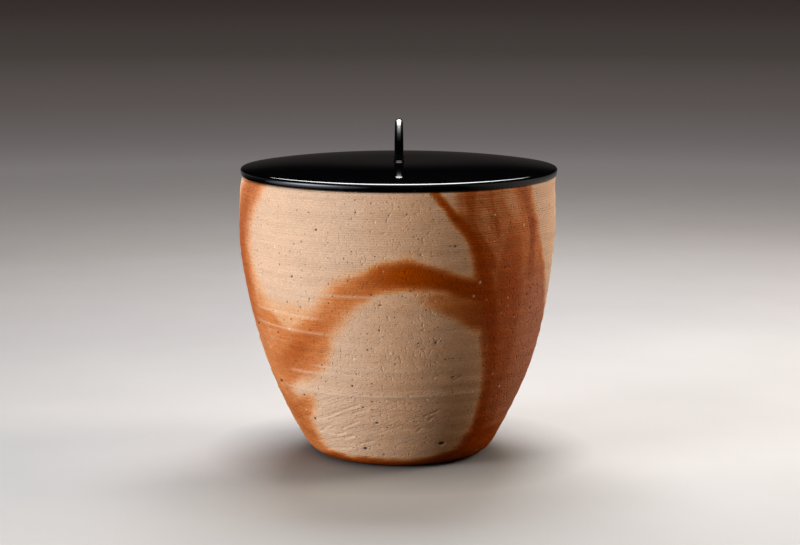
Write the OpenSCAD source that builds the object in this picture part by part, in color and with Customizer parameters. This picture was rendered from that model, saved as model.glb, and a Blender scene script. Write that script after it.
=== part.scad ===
// Fresh-water jar for the tea room: a thrown stoneware jar, a turned lid and the lid's bridge handle.
// Millimetres, +Z up. The origin is the middle of the jar's base, on the surface that it stands on.
// The handle's bridge runs along Y, so it is seen end-on from the front, along +Y.

/* [Jar] */
// Height of the jar from its base to its lip
jar_h = 159; // [120:1:220]
// Radius at the widest part of the wall
jar_r = 90; // [75:0.5:120]
// How far the widest part lies below the lip
shoulder_drop = 14; // [8:1:40]
// How far the wall draws in from the widest part to the lip
lip_draw = 0.7; // [0.2:0.1:3]
// Radius at which the wall's curve would reach the base
base_r = 50; // [38:0.5:62]
// Fullness of the wall's curve, from near 1 for a cone up to a full bowl
wall_fullness = 2.23; // [1.4:0.01:3]
// Height of the rounded heel between base and wall
heel_h = 7.7; // [3:0.1:12]
// Thickness of the wall, square to its surface
wall_t = 8; // [5:0.5:12]
// Thickness of the floor
floor_t = 10; // [6:0.5:18]
// Height of the rounding between floor and wall, on the inside
inner_heel_h = 9; // [4:0.5:16]
// Rounding of the lip's outer and inner edges
lip_round = 2; // [0.5:0.1:3.5]

/* [Lid] */
// How far the lid's edge stands out past the lip
lid_overhang = 0.5; // [0:0.1:5]
// Thickness of the lid's edge, from the lip to the foot of the crown
edge_t = 4.1; // [3:0.1:8]
// Rise of the crown from the lid's edge to its middle
crown_h = 5.1; // [1:0.1:12]
// Flatness of the crown: 2 is a round dome, and more is flatter in the middle and steeper at the edge
crown_flatness = 3.4; // [2:0.1:6]
// Rounding of the edge's upper corner
edge_round = 1.2; // [0.4:0.1:2]
// How far the edge's lower half draws in towards the lip
edge_tuck = 1.8; // [0.5:0.1:3]
// Thickness of the lid, inside its ring
lid_t = 6.5; // [5.5:0.1:8]
// Depth of the ring that drops into the jar's mouth
ring_h = 5; // [3.5:0.5:12]
// Width of that ring
ring_w = 6; // [3:0.5:15]
// Gap between the ring and the mouth
ring_gap = 1.2; // [0.5:0.1:3]
// Bevel on the ring's lower corners
ring_bevel = 1; // [0.3:0.1:1.4]

/* [Handle] */
// Length of the bridge over its feet
bridge_l = 30; // [22:0.5:60]
// Height of the bridge above the lid
bridge_h = 22.9; // [15:0.1:40]
// Thickness of the bar, seen from the side
bar_t = 4.5; // [3.2:0.1:6]
// Width of the bar at its feet
foot_w = 5.2; // [3.5:0.1:9]
// Width of the bar at the top of the bridge
top_w = 4.4; // [2.5:0.1:7]
// How late the bar narrows on its way up: 1 is a straight taper, and more keeps the legs wide
taper_delay = 3; // [1:0.1:6]
// Rounding along the bar's edges
bar_round = 1.9; // [0.4:0.1:2]
// How deep each foot is let into the lid
foot_sink = 0.8; // [0.3:0.1:1.5]
// Gap round a foot in its socket
foot_gap = 0.05; // [0.02:0.01:0.2]
// Diameter of the tenon under each foot
tenon_d = 2.6; // [1.6:0.1:3]
// Length of that tenon
tenon_l = 3.5; // [2:0.1:4]
// Gap round a tenon in its hole
tenon_gap = 0.05; // [0.02:0.01:0.2]
// Gap below a tenon's end
tenon_end_gap = 0.4; // [0.1:0.1:1]

/* [Hidden] */
$fn = 96;
clay = "#C9A383";
lacquer = "#141416";

// Steps in which the curves are drawn
wall_steps = 24;
shoulder_steps = 4;
arc_steps = 6;
crown_steps = 20;
bridge_steps = 32;
// How far a cut runs past the face that it opens, and a tenon's root runs up into its foot
cut_past = 1;
tenon_root = 1.5;
// Share of a bar's side that its rounding may take
round_share = 0.45;

// Wall of the jar
widest_h = jar_h - shoulder_drop;
foot_spread = jar_r - base_r;

// Share of the way down from the widest part to the base, at height z
function depth_share(z) = (widest_h - z) / widest_h;

// Share of the way up from the widest part to the lip, at height z
function shoulder_share(z) = (z - widest_h) / shoulder_drop;

// Outer radius of the jar at height z
function wall_r(z) = z < widest_h
    ? jar_r - foot_spread * pow(depth_share(z), wall_fullness)
    : jar_r - lip_draw * pow(shoulder_share(z), 2);

// Lean of the wall from the vertical at height z, outwards going up
function wall_lean(z) = z < widest_h
    ? atan(foot_spread * wall_fullness / widest_h * pow(depth_share(z), wall_fullness - 1))
    : -atan(2 * lip_draw / shoulder_drop * shoulder_share(z));

// Inner radius of the jar at height z
function inner_r(z) = wall_r(z) - wall_t / cos(wall_lean(z));

// Points on an arc about a centre, from one angle to another
function arc(centre, radius, from, to) =
    [for (i = [0 : arc_steps])
        let (angle = from + (to - from) * i / arc_steps)
        centre + radius * [cos(angle), sin(angle)]];

// Arc that rises from a flat at height z0 into a wall that leans at its top, which is h higher
function heel_arc(wall_radius, lean, z0, h) =
    let (radius = h / (1 - sin(lean)))
    arc([wall_radius - radius * cos(lean), z0 + radius], radius, -90, -lean);

lip_start = jar_h - lip_round;
inner_heel_top = floor_t + inner_heel_h;
lip_r = wall_r(lip_start);
mouth_r = min(inner_r(lip_start), inner_r(jar_h - ring_h));

// Heights of the wall's points between a heel and the start of the lip's rounding
function wall_heights(heel_top) = concat(
    [for (i = [1 : wall_steps]) heel_top + (widest_h - heel_top) * i / wall_steps],
    [for (i = [1 : shoulder_steps - 1]) widest_h + (lip_start - widest_h) * i / shoulder_steps]);

jar_outside = concat(
    heel_arc(wall_r(heel_h), wall_lean(heel_h), 0, heel_h),
    [for (z = wall_heights(heel_h)) [wall_r(z), z]],
    arc([lip_r - lip_round, lip_start], lip_round, 0, 90));

jar_inside = concat(
    heel_arc(inner_r(inner_heel_top), wall_lean(inner_heel_top), floor_t, inner_heel_h),
    [for (z = wall_heights(inner_heel_top)) [inner_r(z), z]],
    arc([inner_r(lip_start) + lip_round, lip_start], lip_round, 180, 90));

// Lid on the lip
lid_r = lip_r + lid_overhang;
lid_top = jar_h + edge_t + crown_h;
ring_r = mouth_r - ring_gap;
recess_r = ring_r - ring_w;
ring_bottom = jar_h - ring_h;

// Height of the lid's upper face at radius r
function crown_z(r) = lid_top - crown_h * pow(r / lid_r, crown_flatness);

// Slope of the crown at the lid's edge, and where the edge's rounding takes over from it
edge_slope = atan(crown_h * crown_flatness / lid_r);
edge_join_r = lid_r - edge_round * (1 - sin(edge_slope));
edge_round_z = crown_z(edge_join_r) - edge_round * cos(edge_slope);

// Points of the crown from one radius to another, lowered by a thickness
function crown_line(from, to, lower) =
    [for (i = [0 : crown_steps])
        let (r = from + (to - from) * i / crown_steps)
        [r, crown_z(r) - lower]];

// Lower half of the lid's edge, a quarter of an ellipse down to the seat on the lip
edge_under = [for (i = [1 : arc_steps])
    let (angle = 90 * i / arc_steps)
    [lid_r - edge_tuck * (1 - cos(angle)), edge_round_z - (edge_round_z - jar_h) * sin(angle)]];

// The ring under the lid, bevelled at its lower corners
ring_outline = [
    [ring_r, jar_h],
    [ring_r, ring_bottom + ring_bevel],
    [ring_r - ring_bevel, ring_bottom],
    [recess_r + ring_bevel, ring_bottom],
    [recess_r, ring_bottom + ring_bevel]];

lid_outline = concat(
    crown_line(0, edge_join_r, 0),
    arc([lid_r - edge_round, edge_round_z], edge_round, 90 - edge_slope, 0),
    edge_under,
    ring_outline,
    crown_line(recess_r, 0, lid_t));

// Bridge handle on the lid
bridge_half_l = (bridge_l - bar_t) / 2;
bridge_rise = bridge_h - bar_t / 2;
foot_z = crown_z(bridge_l / 2);
socket_z = foot_z - foot_sink;

// Width of the bar at a share of the bridge's rise
function bar_w(share) = foot_w + (top_w - foot_w) * pow(share, taper_delay);

// Outline of the bar's section, with x across the bridge and y along its thickness
function bar_section(w, t) =
    let (radius = min(bar_round, round_share * min(w, t)))
    [for (corner = [0 : 3])
        let (middle = 45 + 90 * corner)
        let (centre = [sign(cos(middle)) * (w / 2 - radius), sign(sin(middle)) * (t / 2 - radius)])
        each arc(centre, radius, middle - 45, middle + 45)];

// One ring of the bar: its section set across the bridge at an angle along its half ellipse
function bridge_ring(angle, drop) =
    let (along = [bridge_rise * cos(angle), bridge_half_l * sin(angle)])
    let (out = [-along[0], along[1]] / norm(along))
    let (y = -bridge_half_l * cos(angle))
    let (z = foot_z + bridge_rise * sin(angle) - drop)
    [for (p = bar_section(bar_w(sin(angle)), bar_t)) [p[0], y + out[0] * p[1], z + out[1] * p[1]]];

bridge_rings = concat(
    [bridge_ring(0, foot_sink)],
    [for (i = [0 : bridge_steps]) bridge_ring(180 * i / bridge_steps, 0)],
    [bridge_ring(180, foot_sink)]);

// A closed tube through rings that all have the same number of points
module skin(rings) {
    sides = len(rings[0]);
    last = len(rings) - 1;
    walls = [for (i = [0 : last - 1], j = [0 : sides - 1])
        let (a = i * sides + j)
        let (b = i * sides + (j + 1) % sides)
        each [[a, b, b + sides], [a, b + sides, a + sides]]];
    start_cap = [for (j = [sides - 1 : -1 : 0]) j];
    end_cap = [for (j = [0 : sides - 1]) last * sides + j];
    polyhedron(points = [for (ring = rings) each ring], faces = concat(walls, [start_cap, end_cap]));
}

// Puts its children at the two feet of the bridge
module at_feet() {
    for (side = [-1, 1]) translate([0, side * bridge_half_l, 0]) children();
}

module jar() {
    color(clay) rotate_extrude()
        polygon(concat([[0, 0]], jar_outside, [for (i = [len(jar_inside) - 1 : -1 : 0]) jar_inside[i]],
            [[0, floor_t]]));
}

module lid() {
    hole_l = tenon_l + tenon_end_gap;
    color(lacquer) difference() {
        rotate_extrude() polygon(lid_outline);
        at_feet() translate([0, 0, socket_z]) linear_extrude(foot_sink + cut_past)
            polygon(bar_section(foot_w + 2 * foot_gap, bar_t + 2 * foot_gap));
        at_feet() translate([0, 0, socket_z - hole_l])
            cylinder(h = hole_l + cut_past, d = tenon_d + 2 * tenon_gap);
    }
}

module lid_handle() {
    color(lacquer) union() {
        skin(bridge_rings);
        at_feet() translate([0, 0, socket_z - tenon_l]) cylinder(h = tenon_l + tenon_root, d = tenon_d);
    }
}

jar();
lid();
lid_handle();
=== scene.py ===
"""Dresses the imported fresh-water jar: straw-fired stoneware, and a lid and bridge handle in black lacquer.

Sizes are in millimetres and angles in degrees until a mesh or lamp is made, which is in metres.
An angle round the jar is 0 at the front, towards the camera, and grows to the right.
"""

from __future__ import annotations

import logging
import math
from collections.abc import Iterable, Mapping, Sequence
from dataclasses import dataclass, field
from enum import Enum
from typing import Any

import bpy
import numpy as np
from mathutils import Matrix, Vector, noise


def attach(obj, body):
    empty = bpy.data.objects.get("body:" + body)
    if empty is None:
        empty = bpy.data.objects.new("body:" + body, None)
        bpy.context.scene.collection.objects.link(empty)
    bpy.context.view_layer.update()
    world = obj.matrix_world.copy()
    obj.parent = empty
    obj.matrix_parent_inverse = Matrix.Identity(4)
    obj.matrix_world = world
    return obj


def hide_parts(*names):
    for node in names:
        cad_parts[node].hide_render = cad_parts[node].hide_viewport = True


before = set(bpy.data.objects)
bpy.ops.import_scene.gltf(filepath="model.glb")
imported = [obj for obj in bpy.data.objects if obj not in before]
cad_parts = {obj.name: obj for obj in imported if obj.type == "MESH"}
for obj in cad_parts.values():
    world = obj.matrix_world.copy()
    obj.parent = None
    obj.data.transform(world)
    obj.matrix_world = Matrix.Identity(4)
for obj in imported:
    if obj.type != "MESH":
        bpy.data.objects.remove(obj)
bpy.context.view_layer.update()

LOG = logging.getLogger("water_jar")
MM = 0.001
# Name of the texture map that each piece carries. The exporter keeps a map that has
# this name.
MAP_NAME = "OFBake"

Pair = tuple[float, float]
Triple = tuple[float, float, float]
Stops = Sequence[tuple[float, str]]
Sockets = Mapping[str | int, Any]
Tree = bpy.types.NodeTree
Socket = bpy.types.NodeSocket

# Steps in which a graded spacing is worked out.
FINE_STEPS = 4000
# Keeps a division by nothing from failing.
TINY = 1e-9
# Range in which most of a noise lies.
NOISE_SPAN = (0.3, 0.7)


class Body(Enum):
    """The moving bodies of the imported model."""

    JAR = "jar"
    LID = "lid"


class Slot(Enum):
    """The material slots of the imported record."""

    STONEWARE = "stoneware"
    LACQUER = "black_lacquer"


class Field(Enum):
    """The values that the jar's mesh carries at its points for its material to read."""

    MARK = "fire_mark"
    RED = "fire_red"
    BARE_AND_LIT = "bare_clay_and_highlight"
    PIT_SHADE = "pit"


def linear(code: str) -> tuple[float, float, float, float]:
    """Turns a colour from sRGB to linear light.

    Args:
        code: The colour as #RRGGBB.

    Returns:
        Linear red, green and blue, and an alpha of 1.
    """
    shares = [int(code[i : i + 2], 16) / 255 for i in (1, 3, 5)]
    red, green, blue = (s / 12.92 if s <= 0.04045 else ((s + 0.055) / 1.055) ** 2.4 for s in shares)
    return red, green, blue, 1.0


def fill_sockets(tree: Tree, node: bpy.types.Node, sockets: Sockets) -> None:
    """Sets or links a node's inputs.

    Args:
        tree: The tree that holds the node.
        node: The node.
        sockets: For each input, by name or number, a value to set or an output to link.
    """
    for key, value in sockets.items():
        if isinstance(value, Socket):
            tree.links.new(value, node.inputs[key])
        else:
            node.inputs[key].default_value = value


def add_node(
    tree: Tree,
    kind: str,
    sockets: Sockets | None = None,
    out: str | int = 0,
    stops: Stops = (),
    **settings: Any,
) -> Socket:
    """Adds a node with its settings and links.

    Args:
        tree: The tree that gets the node.
        kind: The node's type, without the ShaderNode at its start.
        sockets: For each input, by name or number, a value to set or an output to link.
        out: The output that is wanted, by name or number.
        stops: The places and colours of a colour ramp.
        **settings: The node's own settings.

    Returns:
        The wanted output.
    """
    node = tree.nodes.new("ShaderNode" + kind)
    for name, value in settings.items():
        setattr(node, name, value)
    fill_sockets(tree, node, sockets or {})
    for number, (place, code) in enumerate(stops):
        elements = node.color_ramp.elements
        # A new ramp has two stops already.
        element = elements[number] if number < 2 else elements.new(place)
        element.position = place
        element.color = linear(code)
    return node.outputs[out]


def new_material(name: str) -> tuple[bpy.types.Material, Tree, bpy.types.Node]:
    """Makes a material with one Principled shader.

    Args:
        name: The material's name.

    Returns:
        The material, its node tree, and its shader.
    """
    material = bpy.data.materials.new(name)
    material.use_nodes = True
    tree = material.node_tree
    return material, tree, tree.nodes["Principled BSDF"]


def per_mm(along_x: float, along_y: float, along_z: float) -> Triple:
    """Factors that turn places in metres into pattern units of these sizes in millimetres."""
    return 1 / (along_x * MM), 1 / (along_y * MM), 1 / (along_z * MM)


def ease(share: np.ndarray) -> np.ndarray:
    """Smooth step from 0 at a share of 0 to 1 at a share of 1."""
    held = np.clip(share, 0, 1)
    return held * held * (3 - 2 * held)


def lumps(places: np.ndarray, size: Sequence[float], octaves: int = 1) -> np.ndarray:
    """Smooth noise that is the same on each run.

    Args:
        places: Points, with x, y and z along the last axis.
        size: Size of a lump along x, y and z.
        octaves: How many finer layers are added up.

    Returns:
        A value from about -1 to 1 for each point.
    """
    scaled = (places / np.asarray(size)).reshape(-1, 3)
    # Each layer is twice as fine as the one before, and half as strong.
    fall, step = 1.0, 2.0
    values = [noise.fractal(Vector(p), fall, step, octaves) for p in scaled.tolist()]
    return np.array(values).reshape(places.shape[:-1])


def graded(start: float, stop: float, count: int, focus: Iterable[Triple]) -> np.ndarray:
    """Steps that lie closer together round some places.

    Args:
        start: First value.
        stop: Last value.
        count: Number of values.
        focus: Places with their reach, and how much denser the steps are there.

    Returns:
        The values, from start to stop.
    """
    fine = np.linspace(start, stop, FINE_STEPS)
    density = np.ones_like(fine)
    for place, reach, weight in focus:
        density += weight * np.exp(-(((fine - place) / reach) ** 2))
    total = np.concatenate([[0.0], np.cumsum((density[1:] + density[:-1]) / 2)])
    return np.interp(np.linspace(0, total[-1], count), total, fine)


def arc(centre: Pair, radius: float, start: float, stop: float, count: int) -> np.ndarray:
    """Points on an arc in the plane of radius and height.

    Args:
        centre: Centre of the arc.
        radius: Its radius.
        start: Angle of the first point.
        stop: Angle of the last point.
        count: Number of points.

    Returns:
        One row for each point, with its radius and height.
    """
    turn = np.radians(np.linspace(start, stop, count))
    return np.stack([centre[0] + radius * np.cos(turn), centre[1] + radius * np.sin(turn)], axis=1)


def turned(radius: np.ndarray, height: np.ndarray, angles: np.ndarray) -> np.ndarray:
    """Places on a turned shape.

    Args:
        radius: Radius of each place.
        height: Height of each place.
        angles: Angle round the axis of each place.

    Returns:
        x, y and z along the last axis.
    """
    turn = np.radians(angles)
    return np.stack(np.broadcast_arrays(radius * np.sin(turn), -radius * np.cos(turn), height), axis=-1)


def angle_from(angles: np.ndarray, start: np.ndarray | float) -> np.ndarray:
    """Angles as they are counted from another, between -180 and 180."""
    return (angles - start + 180) % 360 - 180


def inside_edge(distance: np.ndarray, fade: float) -> np.ndarray:
    """From 0 outside an edge to 1 inside it, over the width of its fade, by the distance inwards."""
    return ease(0.5 + distance / fade)


def travelled(outline: np.ndarray) -> np.ndarray:
    """Way along an outline from its first point to each of its points."""
    return np.concatenate([[0.0], np.cumsum(np.hypot(*np.diff(outline, axis=0).T))])


@dataclass
class Skin:
    """A closed mesh of rings of points, each joined to the one before, with a map for texture."""

    points: list[list[float]] = field(default_factory=list)
    faces: list[list[int]] = field(default_factory=list)
    corners: list[Pair] = field(default_factory=list)
    last: tuple[int, int, float] | None = None

    def add_ring(self, ring: np.ndarray, across: float) -> None:
        """Adds a ring and joins it to the last one.

        Args:
            ring: Its points. A ring of one point is a pole.
            across: Where the ring lies on the map, from 0 to 1.
        """
        added = (len(self.points), len(ring), across)
        self.points.extend(ring.tolist())
        if self.last is not None:
            self.join(self.last, added)
        self.last = added

    def join(self, one: tuple[int, int, float], two: tuple[int, int, float]) -> None:
        """Adds the faces between two rings, of which one may have several times the other's points.

        Args:
            one: First point, number of points and place on the map of one ring.
            two: The same of the other.
        """
        counts = (one[1], two[1])
        total = max(counts) if 1 in counts else min(counts)
        for k in range(total):
            face, spots = [], []
            for (start, count, across), backwards in ((one, False), (two, True)):
                step = count // total
                side = [k * step + s for s in range(step + 1)]
                if backwards:
                    side.reverse()
                face += [start + s % count for s in side]
                spots += [((s if step else k + 0.5) / max(count, total), across) for s in side]
            self.faces.append(face)
            self.corners.extend(spots)

    def piece(self, name: str, sharp_angle: float) -> bpy.types.Object:
        """Makes the mesh object, smooth except at sharp edges.

        Args:
            name: The piece's name.
            sharp_angle: Faces that meet at more than this angle meet in a sharp edge.

        Returns:
            The object, in the scene.
        """
        mesh = bpy.data.meshes.new(name)
        mesh.from_pydata((np.array(self.points) * MM).tolist(), [], self.faces)
        mesh.uv_layers.new(name=MAP_NAME).uv.foreach_set("vector", np.ravel(self.corners))
        mesh.shade_smooth()
        mesh.set_sharp_from_angle(angle=math.radians(sharp_angle))
        made = bpy.data.objects.new(name, mesh)
        bpy.context.scene.collection.objects.link(made)
        return made


@dataclass(frozen=True)
class Straw:
    """The mark of one straw, which left its salts on the clay in the fire.

    Each point has an angle, a height, half the mark's width, and how strongly it burned in.
    A negative strength is a place where the mark stayed pale.
    """

    points: Sequence[tuple[float, float, float, float]]
    red: float = 0.1
    # Steps in which a stretch between two points is curved.
    bends: int = 4
    # Share of the half width at which the mark begins to fade, and at which it has gone.
    full_until: float = 0.45
    gone_at: float = 1.3
    # The faint flush round a mark, by its strength and its width against the mark's.
    flush: float = 0.1
    flush_width: float = 2.6

    def chain(self) -> np.ndarray:
        """Points of a smooth curve through the mark's points, one row each."""
        held = np.array([self.points[0], *self.points, self.points[-1]], float)
        curve = []
        for a, b, c, d in zip(held, held[1:], held[2:], held[3:]):
            for t in np.arange(self.bends) / self.bends:
                straight = 2 * b + (c - a) * t
                bend = (2 * a - 5 * b + 4 * c - d) * t**2
                sway = (3 * b - a - 3 * c + d) * t**3
                curve.append(0.5 * (straight + bend + sway))
        return np.array([*curve, held[-1]])

    def strength(self, angles: np.ndarray, heights: np.ndarray, radii: np.ndarray) -> np.ndarray:
        """How strongly the mark shows.

        Args:
            angles: Angles of the places.
            heights: Heights of the places.
            radii: Radius of the wall at the places.

        Returns:
            The strength at each place, from -1 to 1.
        """
        result = np.zeros_like(angles)
        chain = self.chain()
        for start, end in zip(chain, chain[1:]):
            aside = np.radians(angle_from(angles, start[0])) * radii
            above = heights - start[1]
            reach = self.flush_width * max(start[2], end[2])
            span = abs(end - start)
            near = (abs(aside) < reach + np.radians(span[0]) * radii) & (abs(above) < reach + span[1])
            if not near.any():
                continue
            along = np.radians(end[0] - start[0]) * radii[near]
            up = end[1] - start[1]
            share = np.clip((aside[near] * along + above[near] * up) / (along**2 + up**2 + TINY), 0, 1)
            half = start[2] + (end[2] - start[2]) * share
            away = np.hypot(aside[near] - share * along, above[near] - share * up) / half
            burned = start[3] + (end[3] - start[3]) * share
            core = 1 - ease((away - self.full_until) / (self.gone_at - self.full_until))
            halo = 1 - ease(away / self.flush_width)
            shown = burned * (core * (1 - self.flush) + halo * self.flush)
            old = result[near]
            result[near] = np.where(abs(shown) > abs(old), shown, old)
        return result


@dataclass(frozen=True)
class Flush:
    """A broad mark between two edges, where salts spread in the kiln. Each edge has heights with angles."""

    burned: float
    left: Sequence[Pair]
    right: Sequence[Pair]
    # Width over which each edge fades.
    left_fade: float
    right_fade: float
    red: float = 0.1
    # Heights between which the mark lies, and the height over which its ends fade.
    bottom: float = -50.0
    top: float = 250.0
    end_fade: float = 12.0

    def strength(self, angles: np.ndarray, heights: np.ndarray, radii: np.ndarray) -> np.ndarray:
        """How strongly the mark shows.

        Args:
            angles: Angles of the places.
            heights: Heights of the places.
            radii: Radius of the wall at the places.

        Returns:
            The strength at each place, from 0 to 1.
        """
        inside = inside_edge(heights - self.bottom, self.end_fade)
        inside = inside * inside_edge(self.top - heights, self.end_fade)
        for edge, side, fade in ((self.left, 1, self.left_fade), (self.right, -1, self.right_fade)):
            rows = np.array(sorted(edge))
            offset = angle_from(angles, np.interp(heights, rows[:, 0], rows[:, 1]))
            inside = inside * inside_edge(side * np.radians(offset) * radii, fade)
        return self.burned * inside


@dataclass(frozen=True)
class HeelBand:
    """The dark band round the heel. Its upper edge has angles with heights."""

    burned: float
    edge: Sequence[Pair]
    fade: float
    red: float = 0.15

    def strength(self, angles: np.ndarray, heights: np.ndarray, radii: np.ndarray) -> np.ndarray:
        """How strongly the band shows.

        Args:
            angles: Angles of the places.
            heights: Heights of the places.
            radii: Radius of the wall at the places.

        Returns:
            The strength at each place, from 0 to 1.
        """
        rows = np.array(self.edge)
        top = np.interp(angles, rows[:, 0], rows[:, 1], period=360)
        return self.burned * inside_edge(top - heights, self.fade)


# The straw marks that show from the front, placed after the photograph.
FRONT_MARKS = (
    # Left leg of the arch, which fades softly to both sides.
    Straw(
        (
            (-66, 55, 8, 0.38), (-58, 58, 9, 0.48), (-51, 63, 9.5, 0.6), (-44, 69.5, 9.5, 0.68),
            (-36, 77, 9, 0.62), (-30.5, 84.5, 8.5, 0.56), (-27, 90, 8.5, 0.48),
            (-24, 95.5, 8.5, 0.46), (-20, 101.5, 8.5, 0.48), (-15, 106, 8, 0.5),
        ),
        red=0.15,
        full_until=0.1,
        gone_at=1.6,
    ),
    # The arch from there over the middle to the right.
    Straw(
        (
            (-20, 101.5, 7.5, 0.3), (-15, 106, 7.5, 0.46), (-10, 109.6, 7.5, 0.58),
            (-4, 113.3, 8, 0.86), (3, 114.8, 8, 1), (10, 113, 7.5, 1), (16, 110.8, 6.5, 1),
            (22, 107.5, 6.5, 1), (28, 104.5, 7, 1), (34, 101, 8, 0.95),
        ),
        red=0.0,
    ),
    # Lighter flow under its left leg.
    Straw(
        ((-52, 57, 7, 0.4), (-44, 61, 8, 0.44), (-37, 66, 8, 0.44), (-31, 74, 6, 0.4)),
        red=0.2,
        gone_at=1.6,
    ),
    # Lighter flow under its right half.
    Straw(
        (
            (9, 103, 4, 0.16), (13, 100.5, 5, 0.34), (18, 97.5, 6, 0.46), (24, 95, 7, 0.64),
            (31, 90.5, 7.5, 0.82),
        ),
        red=0.0,
        gone_at=1.6,
    ),
    # Upright band at the left edge.
    Straw(
        (
            (-62, 162, 8, 0.62), (-68.5, 152, 9, 0.68), (-74, 142, 10.5, 0.72),
            (-77, 131, 11.5, 0.74), (-78, 118, 12, 0.74), (-77, 106, 12, 0.7), (-76, 95, 12, 0.62),
            (-73, 84, 11, 0.45),
        ),
        red=0.4,
        gone_at=2.1,
        full_until=0.25,
    ),
    # Thin dark diagonal from the lip down to the right.
    Straw(
        (
            (11.5, 160, 1.6, 0.8), (14.5, 155, 1.8, 0.95), (17.5, 150, 2, 1), (20, 145.5, 2.6, 1),
            (23.5, 140, 3.2, 1), (26.8, 134, 3.6, 1), (29, 127, 4.4, 1), (30.8, 120, 5, 1),
            (32, 112, 5.5, 1), (33, 104, 6, 1),
        ),
        red=0.0,
        full_until=0.3,
        gone_at=1.7,
    ),
    # Softer brown along its right side.
    Straw(((22, 146, 2.5, 0.6), (26.5, 140, 3.2, 0.72), (30.5, 130, 4, 0.84), (34, 119, 5, 0.88)), red=0.0),
    # Brown streak beside it, below the lip, which runs into the diagonal.
    Straw(((25.5, 161, 5, 0.8), (26, 154, 4.2, 0.8), (26, 148, 3, 0.7), (26.5, 141, 2.5, 0.6)), red=0.0),
    # Reddish upright band at the right.
    Straw(
        (
            (48, 161, 4.5, 0.66), (50.5, 154, 4, 0.64), (52.5, 147, 3.6, 0.7), (54.5, 139, 4, 0.8),
            (55.5, 129, 4.5, 0.76), (56, 119, 5, 0.7), (56, 108, 5.5, 0.62),
        ),
        red=0.7,
    ),
    # Deep band down the right, behind the edge of the broad mark.
    Straw(
        (
            (33, 104, 7, 1), (35.5, 92, 7, 1), (37.5, 82, 6, 0.96), (39.5, 70, 4.5, 0.93),
            (40.8, 58, 3.5, 0.9), (42, 45, 3.2, 0.9), (43.6, 32, 4, 0.95), (45.5, 20, 7, 1),
            (44, 8, 9, 1),
        ),
        red=0.15,
    ),
    # Tongue and foot of the mass at the lower left.
    Straw(
        ((-62, 28, 6, 0.46), (-53, 32.5, 5, 0.46), (-47, 36.5, 4.2, 0.38), (-43.5, 39, 3.2, 0.2)),
        gone_at=1.9,
    ),
    Straw(((-70, 30, 8, 0.4), (-62, 25, 9, 0.52), (-60, 16, 8, 0.5), (-57, 9, 7, 0.48)), gone_at=2.0),
    # The wide flush of the upper right.
    Flush(
        0.5,
        ((160, 19), (150, 20.5), (143, 24.5), (132, 28), (118, 31), (105, 33)),
        ((160, 54), (155, 55), (148, 56.5), (140, 58.5), (130, 60.5), (120, 64), (112, 67.5), (105, 70)),
        4,
        7,
        red=0.25,
        bottom=108,
    ),
    Straw(((44, 134, 9, 0.6), (44, 124, 12, 0.72), (43, 112, 13, 0.8), (42, 102, 12, 0.84)), red=0.25),
    # Streaks and places in that flush that stayed pale.
    Straw(
        ((33, 160, 1.6, 0.62), (35, 150, 1.5, 0.62), (36.5, 142, 1.8, 0.7), (37, 134, 2, 0.66)),
        flush=0,
    ),
    Straw(((20, 157, 1.6, -0.4), (21.5, 151, 1.5, -0.3)), flush=0),
    Straw(((31.5, 147, 2.6, -0.2), (32, 140, 3, -0.24), (33, 134, 2.5, -0.15)), flush=0),
    Straw(((41, 158, 4.5, -0.34), (43.5, 151, 5.5, -0.42), (46.5, 143, 4.5, -0.25)), flush=0),
    # The lower right, which turns red towards the side.
    Flush(
        0.8,
        (
            (112, 33), (97, 31), (90, 30.2), (86, 31), (80, 32.2), (75, 33), (70, 34.1), (65, 35.1),
            (60, 36.1), (50, 37.8), (40, 38.7), (30, 39.5), (20, 40), (14, 39.2), (10, 36), (6, 30),
            (0, 28),
        ),
        ((112, 55), (80, 54), (40, 57), (0, 66)),
        6.5,
        20,
        red=0.25,
        top=112,
    ),
    Flush(
        0.58,
        ((118, 48), (60, 48), (0, 48)),
        (
            (118, 64), (112, 67.5), (105, 70), (98, 72), (90, 76), (80, 81), (60, 88), (40, 94),
            (20, 98), (0, 100),
        ),
        16,
        10,
        red=0.9,
        top=116,
    ),
    Straw(((46, 13, 12, 1), (58, 12, 13, 0.94), (72, 9, 12, 0.75), (86, 6, 9, 0.5)), red=0.2),
    # The light orange mass of the lower left.
    Flush(
        0.38,
        ((100, -92), (86, -98), (60, -104), (0, -104)),
        (
            (97, -70), (93, -66), (90.5, -61), (88, -55), (84, -50), (80, -44), (70, -34),
            (64, -38), (60, -41.5), (56, -44), (52, -47), (48, -51), (45, -54), (42, -56),
            (38, -53), (34, -49), (30, -48.5), (25, -50), (20, -51), (14, -53), (9, -52), (0, -48),
        ),
        10,
        12,
        red=0.2,
        top=92,
    ),
    # Faint warmth of the clay beside the marks. The first, over the front and right, is partly the clay's
    # own warmth and partly painted warm shade on the side turned from the key lamp.
    Flush(0.09, ((160, -6), (0, -14)), ((160, 30), (0, 44)), 50, 20, red=0.0),
    Flush(
        0.26,
        ((110, -96), (84, -96)),
        ((118, -70), (108, -66), (98, -60), (84, -50)),
        10,
        24,
        red=0.0,
        bottom=82,
        top=124,
    ),
    Flush(0.16, ((96, -66), (76, -66)), ((96, -30), (76, -34)), 12, 10, red=0.0, bottom=76, top=94),
    HeelBand(
        0.92,
        (
            (-60, 4), (-50, 6), (-44, 7.5), (-38, 6.5), (-30, 5.8), (-20, 6.2), (-10, 5.2), (4, 5),
            (12, 5.6), (20, 7), (30, 9.1), (40, 11.3), (70, 12), (110, 7), (150, 9), (180, 12),
            (215, 7), (250, 6), (285, 8),
        ),
        4.2,
        red=0.15,
    ),
)

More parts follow.
